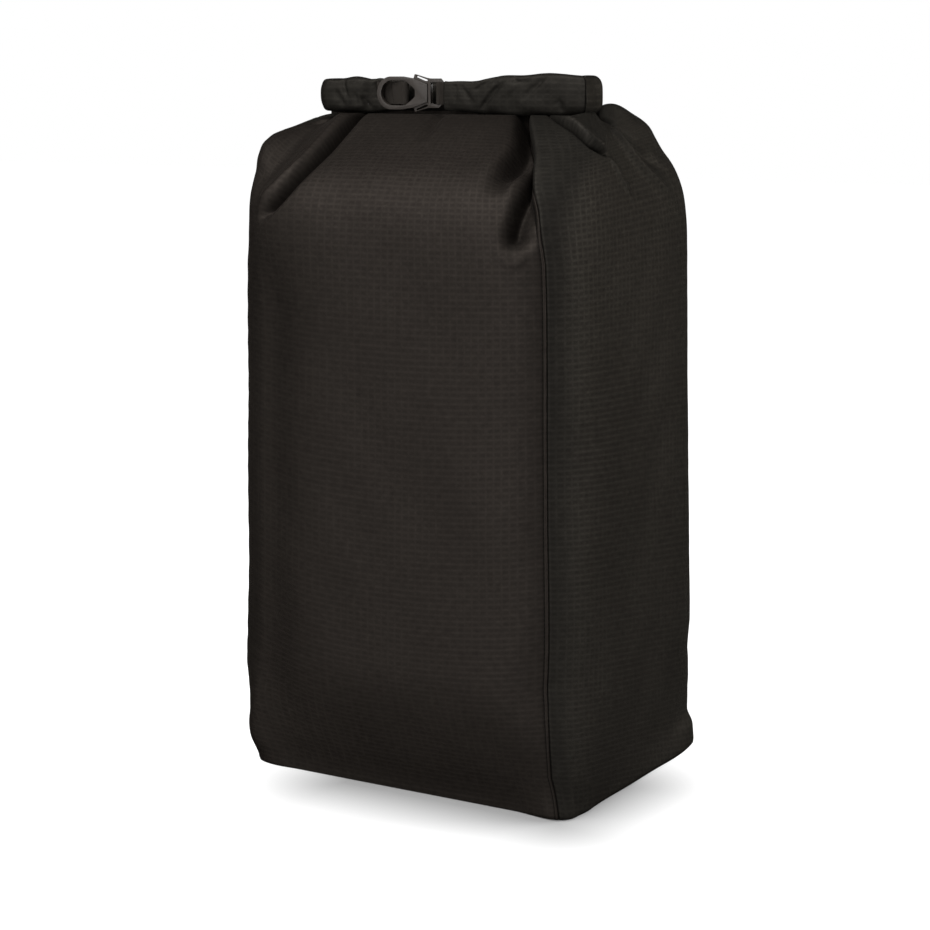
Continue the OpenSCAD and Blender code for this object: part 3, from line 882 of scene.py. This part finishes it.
# Upper and lower edges of the arms above the middle of the roll, and their front and rear faces
LEFT_TOP = profile((-130, 11.8), (-106, 12.2), (-93, 13.5), (-83, 12.5), (-79, 11.6), (-74, 12.9),
                   (-68, 11.8), (-57, 9.6))
LEFT_LOW = profile((-130, -13.6), (-90, -14.2), (-74, -13.6), (-57, -11.6))
LEFT_FRONT = profile((-130, -28.8), (-98, -28.9), (-87, -28.4), (-77, -23.2), (-67, -20.8),
                     (-57, -18.4))
RIGHT_TOP = profile((-12, 10.2), (7, 9.8), (16, 10.8), (26, 12.8), (43, 14.2), (78, 16),
                    (110, 14.8))
RIGHT_LOW = profile((-12, -12), (2, -13.2), (14, -14.2), (26, -14.8), (43, -15.4), (78, -16),
                    (110, -15.4))
RIGHT_FRONT = profile((-12, -26.8), (-4, -26.2), (12, -26.6), (30, -27.8), (50, -28.8),
                      (110, -28.8))
RIGHT_REAR = profile((-12, -20.6), (0, -18), (30, -14.2), (50, ARM_REAR), (110, ARM_REAR))
BACK_TOP = profile((-130, 12), (-90, 12), (-50, 10.6), (-15, 8.8), (8, 8.8), (28, 11), (50, 13.4),
                   (80, 14.4), (115, 14.2))

# Creases on the front faces of the arms, above the middle of the roll: line, depth, width
LEFT_CREASES = [([(-103, 13), (-101, 6), (-97.5, -4)], 1.5, 1.8),
                ([(-75, 13), (-71, 2), (-69, -7)], 1.6, 1.8),
                ([(-86, -1), (-82, -6), (-79, -12)], 1.3, 2),
                ([(-93, 2), (-89, -5), (-90, -11)], 0.8, 2.5),
                ([(-110, 4), (-104, -4), (-100, -11)], 0.8, 2.6)]
RIGHT_CREASES = [([(20, -13), (27, -4), (34, 4), (44, 12)], 1.7, 2.2),
                 ([(14, 2), (24, 8), (37, 14)], 0.9, 1.8),
                 ([(79, 15), (72, 8), (65, 2), (56, -6)], 1.3, 2.2),
                 ([(40, -6), (50, 1), (60, 10)], 0.6, 2.6),
                 ([(2, 8), (10, 0), (16, -8)], 0.7, 2.4),
                 ([(48, 13), (56, 10), (66, 13)], 0.9, 2.2),
                 ([(-3, 9), (0, 3), (-1, -8)], 0.6, 1.6),
                 ([(88, -2), (92, -8), (90, -14)], 0.7, 3)]
CREASE_GAIN, WAVINESS = 1.5, 0.4


def tube_rings(stations, square=2.8):
    """Rings of a flattened tube. A station gives the place in plan, the heading, the mitre, half the
    depth, and the upper and lower edge above the middle of the roll."""
    x, y, heading, mitre, deep, top, low = np.array(stations, float).T[..., None]
    c, s = np.cos(ANGLES), np.sin(ANGLES)
    across = np.sign(c) * np.abs(c) ** (2 / square) * deep * mitre
    upward = np.sign(s) * np.abs(s) ** (2 / square)
    z = ROLL_MIDDLE + np.where(upward > 0, top, -low) * upward
    return np.stack([x - np.sin(heading) * across, y + np.cos(heading) * across, z], -1)


def tube_mesh(name, rings):
    """A tube through the rings, with its ends filled. Its map runs along it and round it."""
    middle = rings[len(rings) // 2]
    around = run_along(np.concatenate([middle, middle[:1]]))
    along = ROLL_MAP + run_along(rings.mean(1))
    flat = np.stack(np.broadcast_arrays(along[:, None], around), -1)
    piece = grid_mesh(name, rings, flat, closed=True)
    mesh = bmesh.new()
    mesh.from_mesh(piece.data)
    bmesh.ops.holes_fill(mesh, edges=[e for e in mesh.edges if e.is_boundary], sides=0)
    mesh.to_mesh(piece.data)
    mesh.free()
    return piece


def wrinkled(rings, creases, on_front, seed):
    """The rings with creases, given on the front face by place along the sack and height, and some
    waviness, which fades at both ends."""
    side = np.roll(rings, -1, 1) - np.roll(rings, 1, 1)
    normal = unit(np.cross(side, np.gradient(rings, axis=0)))
    cloth = Cloth(rings[..., 0], rings[..., 2] - ROLL_MIDDLE)
    for points, depth, width in creases:
        cloth.groove(points, depth, width, fade=(0.25, 0.35), lean=0.35)
    out = CREASE_GAIN * cloth.out * on_front * ease(-normal[..., 1] * 2 + 0.6)
    along = np.broadcast_to(run_along(rings.mean(1))[:, None], out.shape)
    waves = ripple(np.broadcast_to(ANGLES / math.tau * RING, out.shape), along, 300, 52, seed)
    inside = within(np.arange(len(rings)), 0, len(rings) - 1, 3, 3)[:, None]
    return rings + normal * ((out + WAVINESS * waves) * inside)[..., None]


def arm_station(x, heading, front, rear, top, low):
    """A ring of an arm, from its front and rear faces."""
    return (x, (front + rear) / 2, heading, 1, (rear - front) / 2, top, low)


def collar_stations():
    """From the left arm's end round the left turn and along the back, to just before the right end.
    Also how many of them are on the arm."""
    made = [arm_station(x, math.pi, LEFT_FRONT(x), ARM_REAR, LEFT_TOP(x), LEFT_LOW(x))
            for x in np.arange(LEFT_ARM_END, LEFT_TURN, -RING_STEP)]
    arm_rows = len(made)
    between_runs = (FRONT_RUN + BACK_RUN) / 2
    for t in np.linspace(math.pi, 0, 28):
        made.append((LEFT_TURN - TURN * math.sin(t), between_runs + TURN * math.cos(t), t, 1,
                     HALF_DEEP, TURN_TOP, TURN_LOW))
    for x in np.arange(LEFT_TURN + RING_STEP, RIGHT_TURN - SQUARE_END, RING_STEP):
        share = (x - LEFT_TURN) / (RIGHT_TURN - LEFT_TURN)
        made.append((x, BACK_RUN, 0, 1, HALF_DEEP, BACK_TOP(x), between(TURN_LOW, END_LOW, share)))
    return made, arm_rows


def right_end():
    """Rings of the square right end, up to the corner where the front arm starts. The last one is
    a little smaller and closes the corner."""
    turn, mitre = math.pi / 4, math.sqrt(2)
    return tube_rings([(RIGHT_TURN - SQUARE_END, BACK_RUN, 0, 1, HALF_DEEP, 14.2, END_LOW),
                       (RIGHT_TURN, BACK_RUN, -turn, 1.28, HALF_DEEP, 14.3, -14.5),
                       (RIGHT_TURN, (BACK_RUN + FRONT_RUN) / 2, -2 * turn, 1, HALF_DEEP, 14.4, -15),
                       (RIGHT_TURN, FRONT_RUN, -3 * turn, mitre, HALF_DEEP, 14.4, -15),
                       (RIGHT_TURN, FRONT_RUN, -3 * turn, mitre, HALF_DEEP - 0.8, 13.7, -14.3)])


def build_roll(material):
    """The roll in two pieces that meet at its right end. The right arm runs up to the buckle's plug.
    """
    stations, arm_rows = collar_stations()
    corner = right_end()
    end = smooth_line(corner[:4].reshape(4, -1), 36).reshape(-1, len(ANGLES), 3)
    rings = np.concatenate([tube_rings(stations), end[1:], corner[4:]])
    on_front = ease((arm_rows + 6 - np.arange(len(rings))) / 6)[:, None]
    rings = wrinkled(rings, LEFT_CREASES, on_front, 21)
    dress(tube_mesh("collar_cloth", rings), material, "sack", "ripstop", "rolled_collar")
    arm = tube_rings([
        arm_station(x, -math.pi, RIGHT_FRONT(x), RIGHT_REAR(x), RIGHT_TOP(x), RIGHT_LOW(x))
        for x in np.arange(RIGHT_TURN - ARM_START, RIGHT_ARM_END, -ARM_STEP)])
    start = [between(corner[3], arm[0], t) for t in np.linspace(0, 1, 12)[:-1]]
    rings = wrinkled(np.concatenate([corner[4:], start, arm]), RIGHT_CREASES, 1.0, 22)
    arm_piece = tube_mesh("right_arm_cloth", rings)
    dress(arm_piece, material, None, "ripstop", "rolled_collar")
    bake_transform(arm_piece)


# The hem's strip: how far it lies from the middle of the roll, half its thickness and width,
# how many rings of the left arm it leaves free, and how far from the right turn it ends
STRIP_ASIDE, STRIP_THIN, STRIP_HALF, STRIP_SKIP, STRIP_END = 3, 0.5, 8, 16, 6


def build_stiffener(material):
    """The plastic strip in the hem, at the heart of the roll."""
    stations, _ = collar_stations()
    stations = [(x - math.sin(t) * STRIP_ASIDE, y + math.cos(t) * STRIP_ASIDE, t, 1,
                 STRIP_THIN, STRIP_HALF, -STRIP_HALF)
                for x, y, t, *_ in stations[STRIP_SKIP:] + [(RIGHT_TURN - STRIP_END, BACK_RUN, 0)]]
    piece = tube_mesh("hem_strip", tube_rings(stations, 8))
    dress(piece, material, "sack", "stiffener", "hem_stiffener")


# ---------------------------------------------------------------- tabs and buckle

BAR_RADIUS, TAB_THICK, TAB_HALF, TAB_CLEAR = 1.7, 1.2, 8.7, 0.1
# The mouldings of the buckle, and the body of each
MOULDINGS = {"buckle_socket": "sack", "buckle_plug": "plug",
             "upper_prong": "upper_arm", "lower_prong": "lower_arm"}
MOULD_ROUNDING = 0.35


def tab_rings(bar_x, way, bend, shift, flap, reach, slant):
    """A band that goes round a bar. Its front layer ends at the flap, and its rear layer runs on to
    its reach."""
    radius = BAR_RADIUS + TAB_CLEAR + TAB_THICK / 2
    skew = math.atan2(shift, bend)
    arc = np.linspace(-math.pi / 2 - skew, math.pi / 2 - skew, 22)
    wrap = np.stack([radius * np.cos(arc), radius * np.sin(arc)], -1)
    apart = TAB_THICK / 2 + TAB_CLEAR
    front, rear = np.array([(-bend, shift - apart), (-bend, shift + apart)])
    first = [wrap[0] + (front - wrap[0]) * t
             for t in np.linspace(1, 0, 16)[:-1] if t * bend <= flap]
    if flap > bend:
        first = [front - (t, 0) for t in np.linspace(flap - bend, 0, 12)[:-1]] + first
    last = [wrap[-1] + (rear - wrap[-1]) * t for t in np.linspace(0, 1, 14)[1:]]
    last += [rear - (t, 0) for t in np.linspace(0, reach - bend, 20)[1:]]
    plan = np.concatenate([first, wrap, last]) * (-way, 1)
    plan = plan[::-1] if way > 0 else plan
    steps = np.gradient(plan, axis=0)
    heading = np.arctan2(steps[:, 1], steps[:, 0])
    lift = BUCKLE_LEVEL - ROLL_MIDDLE
    rings = tube_rings([(BUCKLE_LEFT + bar_x + x, BUCKLE_Y + y, t, 1,
                         TAB_THICK / 2, lift + TAB_HALF, lift - TAB_HALF)
                        for (x, y), t in zip(plan, heading)], 7)
    near_end = ease(1 - np.arange(len(rings)) / 6)[:, None]
    rings[..., 0] -= slant * (rings[..., 2] - BUCKLE_LEVEL) / TAB_HALF * near_end
    return rings


def build_tabs(material):
    left = tab_rings(bar_x=24.6, way=-1, bend=15.5, shift=3.7, flap=12.6, reach=50, slant=0.9)
    dress(tube_mesh("left_tab_band", left), material, "sack", "webbing", "left_tab")
    right = tab_rings(bar_x=56, way=1, bend=8.5, shift=3.4, flap=40, reach=40, slant=0)
    dress(tube_mesh("right_tab_band", right), material, "plug", "webbing", "right_tab")


def plain_mesh(piece):
    """Puts what a piece's modifiers make in the place of its mesh."""
    shown = piece.evaluated_get(bpy.context.evaluated_depsgraph_get())
    made = bpy.data.meshes.new_from_object(shown)
    piece.modifiers.clear()
    piece.data = made
    return made


def build_moulding(node, body, material):
    """A copy of a moulding's solid with its points merged and its edges rounded."""
    mesh = bmesh.new()
    mesh.from_mesh(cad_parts[node].data)
    bmesh.ops.remove_doubles(mesh, verts=mesh.verts, dist=2e-6)
    bmesh.ops.dissolve_limit(mesh, angle_limit=0.02, verts=mesh.verts, edges=mesh.edges)
    merged = bpy.data.meshes.new(node + "_moulding")
    mesh.to_mesh(merged)
    mesh.free()
    piece = put_in_scene(node + "_moulding", merged)
    bevel = piece.modifiers.new("rounding", "BEVEL")
    bevel.width, bevel.segments = MOULD_ROUNDING * MM, 2
    bevel.limit_method, bevel.angle_limit = "ANGLE", math.radians(32)
    rounded = plain_mesh(piece)
    rounded.polygons.foreach_set("use_smooth", np.ones(len(rounded.polygons), dtype=bool))
    rounded.set_sharp_from_angle(angle=math.radians(38))
    dress(piece, material, body, "buckle", node)


# ---------------------------------------------------------------- stitches

STITCH = {"Pitch": 3.2 * MM, "Stitch length": 2.5 * MM, "Thread": 0.5 * MM}
# How far the middle of a stitch stands out of the cloth
STITCH_PROUD = 0.08


def stitch_tree(thread):
    """Stitches along the edges of a mesh. Each lies along its edge and faces as the mesh says."""
    tree = bpy.data.node_groups.new("stitch_rows", "GeometryNodeTree")
    t = Tree(tree)
    tree.interface.new_socket("Geometry", in_out="INPUT", socket_type="NodeSocketGeometry")
    for name, value in STITCH.items():
        socket = tree.interface.new_socket(name, in_out="INPUT", socket_type="NodeSocketFloat")
        socket.default_value = value
    tree.interface.new_socket("Geometry", in_out="OUTPUT", socket_type="NodeSocketGeometry")
    given = t.node("NodeGroupInput").outputs
    thick = given["Thread"]
    lines = t.out("GeometryNodeMeshToCurve", Mesh=given["Geometry"])
    places = t.out("GeometryNodeResampleCurve", {"mode": "LENGTH"}, Curve=lines, Length=given["Pitch"])
    size = t.out("ShaderNodeCombineXYZ", X=given["Stitch length"], Y=thick, Z=thick)
    bead = t.node("GeometryNodeMeshUVSphere", Segments=6, Rings=4, Radius=0.5).outputs["Mesh"]
    stitch = t.out("GeometryNodeTransform", Geometry=bead, Scale=size)
    facing = t.out("GeometryNodeInputNamedAttribute", {"data_type": "FLOAT_VECTOR"}, Name="facing")
    turn = t.out("FunctionNodeAxesToRotation", {"primary_axis": "X", "secondary_axis": "Z"},
                 _0=t.out("GeometryNodeInputTangent"), _1=facing)
    sewn = t.out("GeometryNodeInstanceOnPoints", Points=places, Instance=stitch, Rotation=turn)
    real = t.out("GeometryNodeRealizeInstances", Geometry=sewn)
    done = t.out("GeometryNodeSetMaterial", Geometry=real, Material=thread)
    t.node("NodeGroupOutput", Geometry=done)
    return tree


def build_stitches(thread):
    """A row of stitches along the band of each corner seam."""
    heights = spaced((8, 0), (CLOTH_TOP - 62, 2))
    points, facing, edges = [], [], []
    for seam, side in SEAMS.values():
        q = np.full_like(heights, seam + side * BAND)
        sideways = folded(q + 0.8, heights) - folded(q - 0.8, heights)
        normal = unit(np.cross(sideways, folded(q, heights + 1) - folded(q, heights - 1)))
        first = len(points) * len(heights)
        edges += [(first + k, first + k + 1) for k in range(len(heights) - 1)]
        points.append(folded(q, heights) + normal * STITCH_PROUD)
        facing.append(normal)
    mesh = bpy.data.meshes.new("seam_lines")
    mesh.from_pydata(np.concatenate(points) * MM, edges, [])
    ways = mesh.attributes.new("facing", "FLOAT_VECTOR", "POINT")
    ways.data.foreach_set("vector", np.concatenate(facing).reshape(-1))
    piece = put_in_scene("seam_stitches", mesh)
    tree = stitch_tree(thread)
    rows = piece.modifiers.new("stitches", "NODES")
    rows.node_group = tree
    for item in tree.interface.items_tree:
        if item.name in STITCH:
            rows[item.identifier] = STITCH[item.name]
    plain_mesh(piece)
    dress(piece, thread, "sack", "webbing")


# ---------------------------------------------------------------- the part

build_studio()
CLOTH = ripstop("black_ripstop", 0.0190, 1.18, 0.2, BAND * MM)
# the side panels' and the roll's copies of the same cloth are darker and less red than the front's:
# painted shade
SIDE_CLOTH_PAINTED_SHADE = ripstop("painted_shade_ripstop_side", 0.0180, 1.09, 0.25)
ROLL_CLOTH_PAINTED_SHADE = ripstop("painted_shade_ripstop_roll", 0.0168, 1.09, 0.22)
FILM = seam_film("seam_tape", 0.08)
PLASTIC = moulded_plastic("buckle_plastic", 0.030)
build_floor(CLOTH)
build_panels({"front": CLOTH, "back": CLOTH, "left": SIDE_CLOTH_PAINTED_SHADE, "right": SIDE_CLOTH_PAINTED_SHADE})
build_tapes(FILM)
build_floor_tape(FILM)
build_roll(ROLL_CLOTH_PAINTED_SHADE)
build_stiffener(FILM)
build_tabs(webbing_cloth("webbing", 0.028))
for node, body in MOULDINGS.items():
    build_moulding(node, body, PLASTIC)
build_stitches(sewing_thread("black_thread", 0.008))
